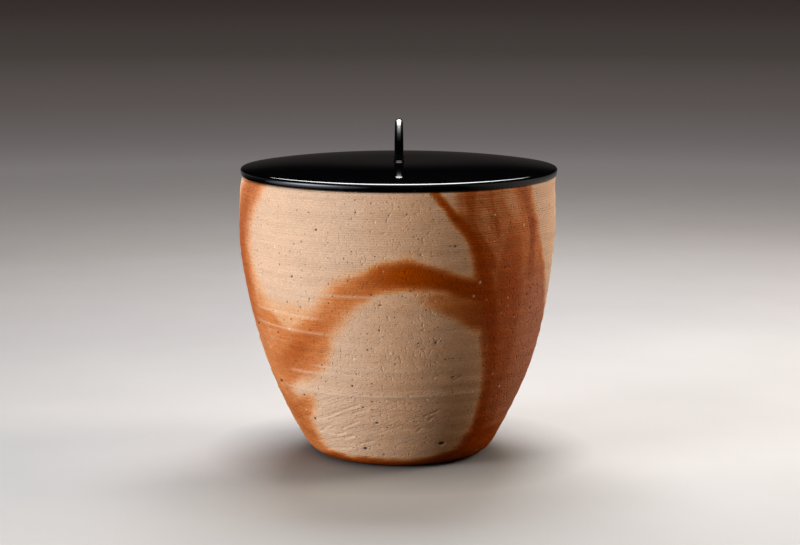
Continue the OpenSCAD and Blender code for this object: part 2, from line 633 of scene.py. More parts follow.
# Marks round the back, drawn in the manner of the front ones: they can't be seen in the photograph.
BACK_MARKS = (
    Straw(
        (
            (96, 162, 3, 0.8), (108, 146, 4, 0.9), (122, 124, 5.5, 0.95), (140, 98, 7, 0.9),
            (158, 68, 8, 0.75), (170, 38, 8.5, 0.65), (178, 8, 9, 0.7),
        ),
        red=0.2,
    ),
    Straw(
        (
            (262, 62, 8, 0.5), (248, 72, 9, 0.62), (236, 88, 8, 0.66), (222, 104, 7, 0.8),
            (205, 112, 6.5, 0.95), (188, 108, 6, 0.95), (172, 97, 6, 0.85), (152, 84, 7, 0.7),
        ),
    ),
    Straw(
        (
            (214, 162, 2, 0.8), (224, 144, 3, 0.95), (232, 124, 4, 0.95), (237, 100, 5, 0.8),
            (240, 82, 6, 0.6),
        ),
    ),
    Straw(((262, 160, 8, 0.4), (266, 130, 9, 0.45), (270, 100, 10, 0.45)), red=0.3),
    Flush(
        0.56,
        ((92, 100), (78, 98), (66, 99), (40, 106), (0, 112)),
        ((92, 112), (78, 124), (66, 136), (40, 152), (0, 160)),
        26,
        24,
        red=0.5,
        top=80,
        end_fade=34,
    ),
    Flush(
        0.42,
        ((76, 250), (64, 240), (48, 229), (30, 219), (0, 210)),
        ((76, 253), (64, 260), (48, 265), (30, 268), (0, 268)),
        16,
        16,
        red=0.2,
        top=70,
        end_fade=24,
    ),
)


@dataclass(frozen=True)
class Ridge:
    """A low ridge that the thrower's finger left on the wall, between two angles."""

    height: float
    start: float
    stop: float
    rise: float = 0.2
    half_width: float = 0.9
    # Angle over which the ridge's ends die out, and how far it rises and falls on its way.
    end_fade: float = 8.0
    wander: float = 0.5
    # How often it does so round the jar, and how that shifts with its height.
    wander_turns: float = 3.1
    wander_shift: float = 40.0

    def shape(self, angles: np.ndarray, heights: np.ndarray) -> np.ndarray:
        """How much of the ridge's full rise is there at each angle and height, from 0 to 1."""
        counted = self.start + (angles - self.start) % 360
        ends = ease((counted - self.start) / self.end_fade) * ease((self.stop - counted) / self.end_fade)
        sway = np.sin(np.radians(counted * self.wander_turns + self.wander_shift * self.height))
        return ends * np.exp(-(((heights - self.height - self.wander * sway) / self.half_width) ** 2))


@dataclass(frozen=True)
class Pit:
    """A small hole where a grain burned out or was dragged out of the clay."""

    angle: float
    height: float
    length: float = 1.5
    width: float = 1.5
    tilt: float = 0.0
    depth: float = 0.5

    def shape(self, angles: np.ndarray, heights: np.ndarray, radii: np.ndarray) -> np.ndarray:
        """How much of the pit's full depth is there at each place, from 0 to 1."""
        aside = np.radians(angle_from(angles, self.angle)) * radii
        above = heights - self.height
        turn = math.radians(self.tilt)
        along = (aside * math.cos(turn) + above * math.sin(turn)) / (self.length / 2)
        across = (above * math.cos(turn) - aside * math.sin(turn)) / (self.width / 2)
        return np.exp(-(along**2) - across**2)


@dataclass(frozen=True)
class Scratch:
    """A groove that a grain left when the wall was trimmed, as a chain of angles and heights."""

    points: Sequence[Pair]
    half_width: float = 0.36
    depth: float = 0.42
    # Share of the half width at which the groove begins to rise, and at which it ends.
    deep_until: float = 0.2
    gone_at: float = 1.6

    def shape(self, angles: np.ndarray, heights: np.ndarray, radii: np.ndarray) -> np.ndarray:
        """How much of the groove's full depth is there at each place, from 0 to 1."""
        rows = [(angle, height, self.half_width, 1.0) for angle, height in self.points]
        groove = Straw(rows, full_until=self.deep_until, gone_at=self.gone_at, flush=0)
        return groove.strength(angles, heights, radii)


RIDGES = (
    Ridge(45.3, -64, 40, 0.16, 0.6),
    Ridge(56.5, -54, -24, 0.12, 0.9),
    Ridge(61, -40, 10, 0.08, 0.7),
    Ridge(80.6, -74, -24, 0.14, 0.6),
    Ridge(89, -70, -26, 0.12, 0.7),
    Ridge(102, -44, 0, 0.12, 0.8),
    Ridge(64, 96, 200, 0.16, 0.7),
    Ridge(92, 150, 262, 0.16, 0.7),
    Ridge(38, 170, 290, 0.16, 0.7),
)

PITS = (
    Pit(-29, 138.3, 1.7, 1.5),
    Pit(20, 130, 1.4, 1.2),
    Pit(-40.5, 111, 1.8, 1.3, 20),
    Pit(23.3, 15.3, 4.0, 2.0, -4, 0.8),
    Pit(-65.5, 46, 4.6, 1.6, 15, 0.7),
    Pit(-19.5, 12.4, 2.6, 1.6, 10),
    Pit(-10.8, 29.2, 1.9, 1.2),
    Pit(-16.5, 38.5, 1.2, 1.2),
    Pit(-46.5, 27.5, 1.8, 1.3, 25),
    Pit(-20, 51),
    Pit(-48, 41.5, 1.8, 1.0, 10),
    Pit(-38, 94, 1.3, 1.3),
    Pit(-6.5, 98.6, 1.8, 1.1),
    Pit(-72.5, 78, 4.0, 1.5, 20),
    Pit(14, 77, 1.6, 1.2, 60),
    Pit(55, 98.5, 2.6, 1.4, -50),
    Pit(59, 90, 2.2, 1.6),
    Pit(48, 88),
    Pit(41, 116, 1.8, 1.4),
    Pit(-3, 147.3, 1.2, 1.0),
    Pit(22.5, 56, 2.2, 0.9, 35),
    Pit(70, 54, 2.0, 1.6),
    Pit(-54, 77, 1.6, 1.0),
    Pit(128, 132, 1.8, 1.4),
    Pit(163, 120),
    Pit(192, 44, 3.4, 1.6, 12, 0.7),
    Pit(210, 84, 1.9, 1.4),
    Pit(231, 52),
    Pit(248, 118, 1.8, 1.2),
    Pit(145, 30, 2.4, 1.5, -8),
    Pit(104, 72, 1.7, 1.3),
)

SCRATCHES = (
    Scratch(((-46, 27.5), (-35, 31.5), (-27, 35.5), (-18.5, 39.8)), 0.45, 0.36),
    Scratch(((-46, 19.5), (-37, 25.2))),
    Scratch(((-30, 24), (-20, 29.3))),
    Scratch(((-35, 19), (-29, 21.5))),
    Scratch(((-40, 15.5), (-25, 20))),
    Scratch(((-31, 17), (-24, 20))),
    Scratch(((-45, 9.2), (-28, 12)), 0.45, 0.36),
    Scratch(((-58, 6.3), (-44, 9)), 0.45, 0.36),
    Scratch(((-73, 61), (-60, 70))),
    Scratch(((-22, 34), (-14, 37.5))),
    Scratch(((-22, 15), (-13, 18))),
    Scratch(((11.5, 33), (18, 36.5))),
    Scratch(((14, 31), (17, 33))),
    Scratch(((9, 24), (11, 26))),
    Scratch(((22, 53.5), (26, 56.5))),
    Scratch(((-28, 120), (-25, 124)), 0.5, 0.2),
    Scratch(((150, 18), (168, 25))),
    Scratch(((172, 30), (184, 34))),
    Scratch(((205, 14), (222, 19))),
)


@dataclass(frozen=True)
class JarProfile:
    """The jar's turned outline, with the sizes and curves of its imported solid."""

    height: float = 159.0
    radius: float = 90.0
    shoulder_drop: float = 14.0
    lip_draw: float = 0.7
    base_radius: float = 50.0
    fullness: float = 2.23
    heel_height: float = 7.7
    wall_thickness: float = 8.0
    floor_thickness: float = 10.0
    inner_heel_height: float = 9.0
    lip_round: float = 2.0

    @property
    def widest_height(self) -> float:
        """Height of the wall's widest part."""
        return self.height - self.shoulder_drop

    @property
    def lip_start(self) -> float:
        """Height at which the lip's rounding starts."""
        return self.height - self.lip_round

    def shares(self, z: np.ndarray) -> tuple[np.ndarray, np.ndarray]:
        """Shares of the way from the widest part down to the base and up to the lip, at each height."""
        below = np.clip((self.widest_height - z) / self.widest_height, 0, None)
        above = np.clip((z - self.widest_height) / self.shoulder_drop, 0, None)
        return below, above

    def wall_radius(self, z: np.ndarray) -> np.ndarray:
        """Outer radius of the wall at each height."""
        below, above = self.shares(z)
        spread = self.radius - self.base_radius
        return self.radius - spread * below**self.fullness - self.lip_draw * above**2

    def lean(self, z: np.ndarray) -> np.ndarray:
        """Lean of the wall from the vertical at each height, in radians, outwards going up."""
        below, above = self.shares(z)
        spread = (self.radius - self.base_radius) * self.fullness / self.widest_height
        draw = 2 * self.lip_draw / self.shoulder_drop
        return np.arctan(spread * below ** (self.fullness - 1) - draw * above)

    def inner_radius(self, z: np.ndarray) -> np.ndarray:
        """Inner radius of the wall at each height."""
        return self.wall_radius(z) - self.wall_thickness / np.cos(self.lean(z))

    def heel(self, wall_radius: float, lean: float, bottom: float, rise: float, count: int) -> np.ndarray:
        """Arc from a flat into a leaning wall.

        Args:
            wall_radius: Radius of the wall at the arc's top.
            lean: Lean of the wall there, in radians.
            bottom: Height of the flat.
            rise: Height of the arc.
            count: Number of points.

        Returns:
            One row for each point, with its radius and height.
        """
        radius = rise / (1 - math.sin(lean))
        centre = (wall_radius - radius * math.cos(lean), bottom + radius)
        return arc(centre, radius, -90, -math.degrees(lean), count)

    def outside(self, heights: np.ndarray, arc_rows: int) -> np.ndarray:
        """Outline from the rim of the foot up to the top of the lip.

        Args:
            heights: Heights of the wall's rows, from the heel to the lip's rounding.
            arc_rows: Rows in each rounding.

        Returns:
            One row for each point, with its radius and height.
        """
        top = np.array(self.heel_height)
        heel = self.heel(float(self.wall_radius(top)), float(self.lean(top)), 0, self.heel_height, arc_rows)
        wall = np.stack([self.wall_radius(heights), heights], axis=1)
        lip_radius = float(self.wall_radius(np.array(self.lip_start)))
        lip = arc((lip_radius - self.lip_round, self.lip_start), self.lip_round, 0, 90, arc_rows)
        return np.concatenate([heel[:-1], wall[:-1], lip])

    def inside(self, wall_rows: int, arc_rows: int) -> np.ndarray:
        """Outline from the top of the lip down to the rim of the floor.

        Args:
            wall_rows: Rows down the wall.
            arc_rows: Rows in each rounding.

        Returns:
            One row for each point, with its radius and height.
        """
        mouth = float(self.inner_radius(np.array(self.lip_start)))
        lip = arc((mouth + self.lip_round, self.lip_start), self.lip_round, 90, 180, arc_rows)
        heel_top = self.floor_thickness + self.inner_heel_height
        heights = np.linspace(self.lip_start, heel_top, wall_rows)
        wall = np.stack([self.inner_radius(heights), heights], axis=1)
        top = np.array(heel_top)
        heel_radius = float(self.inner_radius(top))
        heel_lean = float(self.lean(top))
        heel = self.heel(heel_radius, heel_lean, self.floor_thickness, self.inner_heel_height, arc_rows)
        return np.concatenate([lip[:-1], wall[:-1], heel[::-1]])


@dataclass
class Part:
    """A part of the object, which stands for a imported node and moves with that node's body."""

    body: Body
    node: str
    # The record's material slot of the part.
    slot: Slot

    def dress(self, piece: bpy.types.Object, material: bpy.types.Material) -> None:
        """Gives the part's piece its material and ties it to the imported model.

        Args:
            piece: The piece.
            material: Its material.
        """
        piece.data.materials.append(material)
        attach(piece, self.body.value)
        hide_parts(self.node)
        faces = len(piece.data.polygons)
        LOG.info("%s stands for %s on body %s, with %d faces", piece.name, self.node, self.body.value, faces)


@dataclass
class Jar(Part):
    """The thrown jar: its turned outline with the marks of the wheel, the knife and the fire."""

    body: Body = Body.JAR
    node: str = "jar"
    slot: Slot = Slot.STONEWARE
    profile: JarProfile = field(default_factory=JarProfile)
    # Columns round the outside, and how many of them one inner column takes.
    columns: int = 440
    columns_per_inner: int = 4
    wall_rows: int = 186
    arc_rows: int = 7
    inner_wall_rows: int = 48
    flat_rows: int = 6
    # Where columns, and rows at the trimmed foot, lie closer together: place, reach and how much denser.
    dense_columns: Sequence[Triple] = ((0.0, 72.0, 1.5), (-30.0, 24.0, 0.8))
    dense_foot: Triple = (24.0, 20.0, 0.7)
    # The same for rows at the ridges of the front, which come first in the list: reach and how much denser.
    dense_ridge: Pair = (2.5, 0.5)
    front_ridges: int = 6
    sharp_angle: float = 60.0
    # Heights over which the relief comes in above the foot, and it and the lean die out below the lid.
    relief_above_foot: float = 5.0
    relief_below_lip: float = 2.5
    lean_below_lip: float = 4.0
    # Soft rings of the throwing: their spacing and height, outside and inside.
    ring_spacing: float = 8.6
    ring_rise: float = 0.12
    inner_ring_spacing: float = 11.0
    inner_ring_rise: float = 0.35
    # How far the outer rings sway with the swell, and their strength and how it varies over a patch.
    ring_sway: float = 2.5
    ring_strength: Pair = (0.7, 0.6)
    ring_patch: Triple = (60.0, 60.0, 18.0)
    # Where the inner rings begin below the lip and out from the floor's middle, and over what distance.
    inner_ring_lip: Pair = (6.0, 12.0)
    inner_ring_middle: Pair = (6.0, 30.0)
    # Slow unevenness of the wall, by its size and height.
    swell_size: float = 46.0
    swell_rise: float = 0.3
    dimple_size: float = 11.0
    dimple_rise: float = 0.07
    # The jar leans a little: how far its base and lip stand to the right of the axis.
    base_shift: float = 0.6
    lip_shift: float = -1.0
    # Where the wall is out of round: angle, height and how far out.
    out_of_round: Sequence[Triple] = (
        (-90, 124, 0.7), (-90, 155, -0.6), (90, 105, -0.6), (90, 52, 0.55),
    )
    out_of_round_angle: float = 35.0
    out_of_round_height: float = 20.0
    # Share of the map that the inside takes, and the gap at the map's ends.
    inside_map: float = 0.28
    map_gap: float = 0.01
    # How far the marks' edges stray and over what distance, and the same for their combing along the wheel.
    stray: float = 1.0
    stray_size: float = 13.0
    comb_stray: float = 0.6
    comb_size: Triple = (26.0, 26.0, 2.4)
    # Least radius at which they stray round the wall, and the step to noise that isn't like the first.
    stray_radius: float = 20.0
    noise_step: float = 500.0
    # How much the weaker of two marks adds to the stronger where they overlap, and what counts as no mark.
    overlap: float = 0.3
    no_mark: float = 1e-6
    # How bare the clay is on a ridge, where a highlight along the crest is also painted.
    ridge_bare_and_lit: float = 0.8

    def build(self) -> bpy.types.Object:
        """Builds the jar's mesh with its fields.

        Returns:
            The piece, without a material.
        """
        profile = self.profile
        at_ridges = [(ridge.height, *self.dense_ridge) for ridge in RIDGES[: self.front_ridges]]
        dense_rows = [self.dense_foot, *at_ridges]
        heights = graded(profile.heel_height, profile.lip_start, self.wall_rows, dense_rows)
        outline = profile.outside(heights, self.arc_rows)
        flat = np.linspace(0, 1, self.flat_rows, endpoint=False)[1:, None] * outline[0]
        outline = np.concatenate([flat, outline])
        angles = graded(-180, 180, self.columns + 1, self.dense_columns)[:-1]
        turn, height = np.meshgrid(angles, outline[:, 1])
        radius = np.broadcast_to(outline[:, :1], turn.shape)
        plain = turned(radius, height, turn)
        below_lip = profile.height - height
        on_wall = ease(height / self.relief_above_foot) * ease(below_lip / self.relief_below_lip)
        places = turned(radius + self.relief(turn, height, radius, plain) * on_wall, height, turn)
        lean = self.base_shift + (self.lip_shift - self.base_shift) * height / profile.height
        places[..., 0] += lean * ease(below_lip / self.lean_below_lip)

        skin = Skin()
        travel = travelled(outline) + np.hypot(*outline[0])
        spread = self.inside_map + (1 - self.inside_map) * travel / travel[-1]
        skin.add_ring(np.zeros((1, 3)), self.inside_map)
        for ring, across in zip(places, spread):
            skin.add_ring(ring, across)
        self.line(skin, angles)
        piece = skin.piece("stoneware_jar", self.sharp_angle)
        self.mark(piece.data, turn, height, radius, plain)
        return piece

    def line(self, skin: Skin, angles: np.ndarray) -> None:
        """Adds the inside of the jar, with its throwing spiral.

        Args:
            skin: The skin, which has the outside up to the lip.
            angles: Angles of the outer columns.
        """
        inner_angles = angles[:: self.columns_per_inner]
        outline = self.profile.inside(self.inner_wall_rows, self.arc_rows)
        floor = np.linspace(1, 0, self.flat_rows, endpoint=False)[1:, None] * (outline[-1] * (1, 0))
        floor[:, 1] = self.profile.floor_thickness
        outline = np.concatenate([outline, floor])
        spread = np.linspace(self.inside_map * (1 - 2 * self.map_gap), self.map_gap, len(outline))
        lip_gap, lip_fade = self.inner_ring_lip
        middle_gap, middle_fade = self.inner_ring_middle
        for (radius, height), across in zip(outline, spread):
            spiral = (height + radius / 2) / self.inner_ring_spacing
            wave = np.sin(np.radians(inner_angles) + math.tau * spiral)
            below_lip = self.profile.height - height
            depth = ease((below_lip - lip_gap) / lip_fade) * ease((radius - middle_gap) / middle_fade)
            skin.add_ring(turned(radius + self.inner_ring_rise * wave * depth, height, inner_angles), across)
        skin.add_ring(np.array([[0, 0, self.profile.floor_thickness]]), 0.0)

    def relief(
        self, turn: np.ndarray, height: np.ndarray, radius: np.ndarray, places: np.ndarray
    ) -> np.ndarray:
        """How far the wall stands out from its turned outline.

        Args:
            turn: Angles of the places.
            height: Heights of the places.
            radius: Radii of the places.
            places: The places themselves.

        Returns:
            The distance at each place, outwards.
        """
        swell = lumps(places, [self.swell_size] * 3)
        rings = np.sin(math.tau * (height / self.ring_spacing + turn / 360) + self.ring_sway * swell)
        least, further = self.ring_strength
        out = self.ring_rise * rings * (least + further * lumps(places, self.ring_patch))
        out = out + self.swell_rise * swell
        out = out + self.dimple_rise * lumps(places, [self.dimple_size] * 3, octaves=2)
        for angle, middle, rise in self.out_of_round:
            aside = angle_from(turn, angle) / self.out_of_round_angle
            above = (height - middle) / self.out_of_round_height
            out = out + rise * np.exp(-(aside**2) - above**2)
        for ridge in RIDGES:
            out = out + ridge.rise * ridge.shape(turn, height)
        for hollow in (*PITS, *SCRATCHES):
            out = out - hollow.depth * hollow.shape(turn, height, radius)
        return out

    def mark(
        self,
        mesh: bpy.types.Mesh,
        turn: np.ndarray,
        height: np.ndarray,
        radius: np.ndarray,
        places: np.ndarray,
    ) -> None:
        """Writes the fire marks, the bare clay of the ridges, along which a highlight is also painted, and
        the pits, whose shade is painted, onto the mesh.

        Args:
            mesh: The jar's mesh, whose outer rings come after one pole.
            turn: Angles of the outer rings' points.
            height: Heights of those points.
            radius: Radii of those points.
            places: Those points on the plain outline.
        """
        aside = self.stray * lumps(places, [self.stray_size] * 3, octaves=2)
        aside = aside + self.comb_stray * lumps(places, self.comb_size, octaves=2)
        strayed_turn = turn + np.degrees(aside / np.maximum(radius, self.stray_radius))
        above = self.stray * lumps(places + self.noise_step, [self.stray_size] * 3, octaves=2)
        burned = np.zeros_like(turn)
        red_share = np.zeros_like(turn)
        total = np.full_like(turn, self.no_mark)
        pale = np.ones_like(turn)
        for made in (*FRONT_MARKS, *BACK_MARKS):
            strength = made.strength(strayed_turn, height + above, radius)
            pale = pale * (1 + np.minimum(strength, 0))
            shown = np.maximum(strength, 0)
            weaker = np.minimum(burned, shown)
            burned = 1 - (1 - np.maximum(burned, shown)) * (1 - self.overlap * weaker)
            red_share = red_share + made.red * shown
            total = total + shown
        values = {
            Field.MARK: burned * pale,
            Field.RED: red_share / total,
            Field.BARE_AND_LIT: self.ridge_bare_and_lit * np.max([ridge.shape(turn, height) for ridge in RIDGES], axis=0),
            Field.PIT_SHADE: np.max([pit.shape(turn, height, radius) for pit in PITS], axis=0),
        }
        for name, value in values.items():
            whole = np.zeros(len(mesh.vertices), np.float32)
            whole[1 : 1 + value.size] = value.ravel()
            mesh.attributes.new(name.value, "FLOAT", "POINT").data.foreach_set("value", whole)


@dataclass
class Lid(Part):
    """The turned lid: a low crown, a thin rounded edge, and the ring that drops into the mouth."""

    body: Body = Body.LID
    node: str = "lid"
    slot: Slot = Slot.LACQUER
    seat: float = 159.0
    radius: float = 89.99
    edge_thickness: float = 4.7
    crown_rise: float = 4.5
    crown_flatness: float = 3.4
    edge_round: float = 1.2
    edge_tuck: float = 1.8
    thickness: float = 6.5
    ring_depth: float = 5.0
    ring_width: float = 6.0
    ring_radius: float = 80.26
    ring_bevel: float = 1.0
    columns: int = 320
    crown_rows: int = 40
    under_rows: int = 14
    arc_rows: int = 12
    # Where the crown's rows lie closer together, towards the edge: reach and how much denser.
    dense_edge: Pair = (12.0, 3.0)
    # How far inside the edge's tuck the flat seat has a row, and the gap at the map's ends.
    seat_row: float = 0.8
    map_gap: float = 0.01
    sharp_angle: float = 34.0

    @property
    def top(self) -> float:
        """Height of the crown's middle."""
        return self.seat + self.edge_thickness + self.crown_rise

    def crown(self, radius: np.ndarray | float) -> np.ndarray | float:
        """Height of the upper face at a radius."""
        return self.top - self.crown_rise * (radius / self.radius) ** self.crown_flatness

    def outline(self) -> np.ndarray:
        """Outline from the underside over ring, edge and crown to the top, without the points on the axis.

        Returns:
            One row for each point, with its radius and height.
        """
        slope = math.atan(self.crown_rise * self.crown_flatness / self.radius)
        join = self.radius - self.edge_round * (1 - math.sin(slope))
        round_height = self.crown(join) - self.edge_round * math.cos(slope)
        recess = self.ring_radius - self.ring_width
        bottom = self.seat - self.ring_depth
        under = np.linspace(0, recess, self.under_rows)[1:]
        ceiling = np.stack([under, self.crown(under) - self.thickness], axis=1)
        ring = [
            (recess, bottom + self.ring_bevel),
            (recess + self.ring_bevel, bottom),
            (self.ring_radius - self.ring_bevel, bottom),
            (self.ring_radius, bottom + self.ring_bevel),
            (self.ring_radius, self.seat),
            (self.radius - self.edge_tuck - self.seat_row, self.seat),
        ]
        turn = np.radians(np.linspace(90, 0, self.arc_rows))
        tucked = self.radius - self.edge_tuck * (1 - np.cos(turn))
        lower = np.stack([tucked, round_height - (round_height - self.seat) * np.sin(turn)], axis=1)
        centre = (self.radius - self.edge_round, round_height)
        rounding = arc(centre, self.edge_round, 0, 90 - math.degrees(slope), self.arc_rows)
        over = graded(join, 0, self.crown_rows, [(join, *self.dense_edge)])[:-1]
        crown = np.stack([over, self.crown(over)], axis=1)
        return np.concatenate([ceiling, ring, lower, rounding[1:-1], crown])

    def build(self) -> bpy.types.Object:
        """Builds the lid's mesh.

        Returns:
            The piece, without a material.
        """
        angles = np.linspace(-180, 180, self.columns, endpoint=False)
        outline = self.outline()
        travel = travelled(outline)
        spread = self.map_gap + (1 - 2 * self.map_gap) * travel / travel[-1]
        skin = Skin()
        skin.add_ring(np.array([[0, 0, self.top - self.thickness]]), 0.0)
        for (radius, height), across in zip(outline, spread):
            skin.add_ring(turned(radius, np.array(height), angles), across)
        skin.add_ring(np.array([[0, 0, self.top]]), 1.0)
        return skin.piece("lacquer_lid", self.sharp_angle)


@dataclass
class Handle(Part):
    """The bridge handle: a bar bent to half an ellipse, whose feet are let into the lid."""

    body: Body = Body.LID
    node: str = "lid_handle"
    slot: Slot = Slot.LACQUER
    length: float = 30.0
    rise: float = 22.9
    thickness: float = 4.5
    foot_width: float = 5.2
    top_width: float = 4.4
    taper_delay: float = 3.0
    edge_round: float = 1.9
    # Share of the bar's side that its rounding may take.
    round_share: float = 0.45
    sink: float = 0.8
    # The lacquer that gathers round each foot: how far it spreads, how high it climbs, and how hollow it is.
    fillet_spread: float = 0.7
    fillet_climb: float = 1.6
    fillet_curve: float = 2.5
    steps: int = 96
    # Where the steps lie closer together, at both feet: reach and how much denser.
    dense_foot: Pair = (8.0, 2.0)
    corner_points: int = 8
    map_gap: float = 0.02
    sharp_angle: float = 50.0

    def section(self, width: float, spread: float) -> np.ndarray:
        """Outline of the bar's section.

        Args:
            width: Width of the bar across the bridge.
            spread: How far the section is grown all round.

        Returns:
            One row for each point, across the bridge and through the bar.
        """
        radius = min(self.edge_round, self.round_share * min(width, self.thickness))
        points = []
        for corner in range(4):
            middle = 45 + 90 * corner
            side = np.sign([math.cos(math.radians(middle)), math.sin(math.radians(middle))])
            centre = side * (np.array([width, self.thickness]) / 2 - radius)
            points.append(arc(tuple(centre), radius + spread, middle - 45, middle + 45, self.corner_points))
        return np.concatenate(points)

    def build(self, lid: Lid) -> bpy.types.Object:
        """Builds the handle's mesh on the lid.

        Args:
            lid: The lid that carries it.

        Returns:
            The piece, without a material.
        """
        half = (self.length - self.thickness) / 2
        climb = self.rise - self.thickness / 2
        foot = float(lid.crown(self.length / 2))
        turns = graded(0, 180, self.steps, [(end, *self.dense_foot) for end in (0, 180)])
        rings = []
        for turn in np.radians(turns):
            along = np.array([climb * math.cos(turn), half * math.sin(turn)])
            out = np.array([-along[0], along[1]]) / np.linalg.norm(along)
            height = climb * math.sin(turn)
            share = max(0.0, 1 - height / self.fillet_climb)
            width = self.foot_width + (self.top_width - self.foot_width) * math.sin(turn) ** self.taper_delay
            section = self.section(width, self.fillet_spread * share**self.fillet_curve)
            along_bridge = -half * math.cos(turn) + out[0] * section[:, 1]
            above_lid = foot + height + out[1] * section[:, 1]
            rings.append(np.stack([section[:, 0], along_bridge, above_lid], axis=1))
        down = np.array([0, 0, -self.sink])
        rings = [rings[0] + down, *rings, rings[-1] + down]
        skin = Skin()
        skin.add_ring(rings[0].mean(axis=0, keepdims=True), 0.0)
        for number, ring in enumerate(rings):
            skin.add_ring(ring, self.map_gap + (1 - 2 * self.map_gap) * number / len(rings))
        skin.add_ring(rings[-1].mean(axis=0, keepdims=True), 1.0)
        return skin.piece("lacquer_handle", self.sharp_angle)


@dataclass(frozen=True)
class Noise:
    """A noise in the clay: size of its parts along x, y and z, fineness, and rise of the surface."""

    name: str
    size: Triple
    detail: float
    roughness: float = 0.5
    rise: float = 0.0


@dataclass(frozen=True)
class Spots:
    """Specks or grains in the clay: spacing, share of the places that stay empty, colour, and rise."""

    spacing: float
    empty: float
    colour: str
    rise: float


